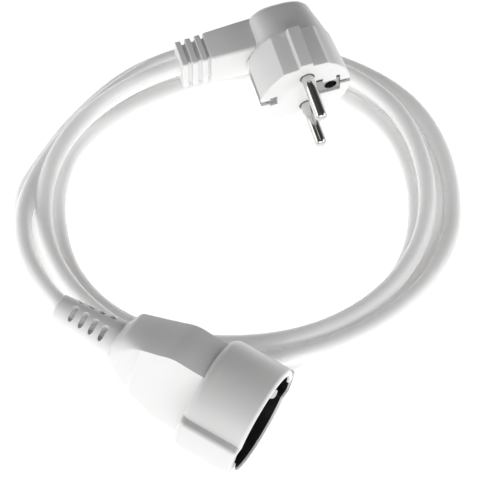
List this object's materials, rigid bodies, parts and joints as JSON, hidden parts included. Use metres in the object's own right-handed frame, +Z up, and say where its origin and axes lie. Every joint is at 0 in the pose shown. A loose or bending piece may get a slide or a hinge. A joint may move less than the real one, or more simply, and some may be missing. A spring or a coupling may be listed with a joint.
{
  "type": "extension cord",
  "caption": "White household extension lead: angled earthed round-pin plug, loosely coiled round cord and an in-line coupler socket with a round collar and black insert.",
  "frame": {"origin": "on the resting surface, midway under the coupler socket's box (the plug and cord are not counted)", "axes": "+X along the coupler in plan and out of its mouth, +Z up, +Y to the side where the coil lies"},
  "size_m": [0.1636, 0.1868, 0.0502],
  "materials": {
    "white_coupler": "satin",
    "white_sleeve": "satin",
    "white_plug": "satin",
    "cord_jacket": "satin",
    "black_insert": "satin",
    "carrier": "matte",
    "contact_brass": "satin",
    "earth_metal": "satin",
    "pin_metal": "bright",
    "core_live": "matte",
    "core_neutral": "matte",
    "core_earth": "matte"
  },
  "bodies": {
    "lead": {"coupler_overmould": "white_coupler", "coupler_bend_sleeve": "white_sleeve", "coupler_insert": "black_insert", "contact_carrier": "carrier", "contact_live": "contact_brass", "contact_neutral": "contact_brass", "earth_bow": "earth_metal", "coupler_core_live": "core_live", "coupler_core_neutral": "core_neutral", "coupler_core_earth": "core_earth", "plug_overmould": "white_plug", "pin_carrier": "carrier", "pin_live": "pin_metal", "pin_neutral": "pin_metal", "plug_earth_strip": "earth_metal", "plug_earth_socket": "earth_metal", "plug_core_live": "core_live", "plug_core_neutral": "core_neutral", "plug_core_earth": "core_earth", "cord_coil": "cord_jacket", "cord_plug_lead": "cord_jacket", "cord_coupler_lead": "cord_jacket"},
    "finger_near": {"earth_finger_near": "earth_metal"},
    "finger_far": {"earth_finger_far": "earth_metal"}
  },
  "joints": [
    {"name": "finger_near_flex", "type": "hinge", "parent": "lead", "child": "finger_near", "pos_m": [0.02234, -0.02053, 0.0302], "axis": [-0.1074, -0.2672, -0.9576], "range_deg": [0, 5], "stiffness_Nm_per_rad": 0.8},
    {"name": "finger_far_flex", "type": "hinge", "parent": "lead", "child": "finger_far", "pos_m": [0.02107, 0.02053, 0.01888], "axis": [0.1074, 0.2672, 0.9576], "range_deg": [0, 5], "stiffness_Nm_per_rad": 0.8}
  ]
}
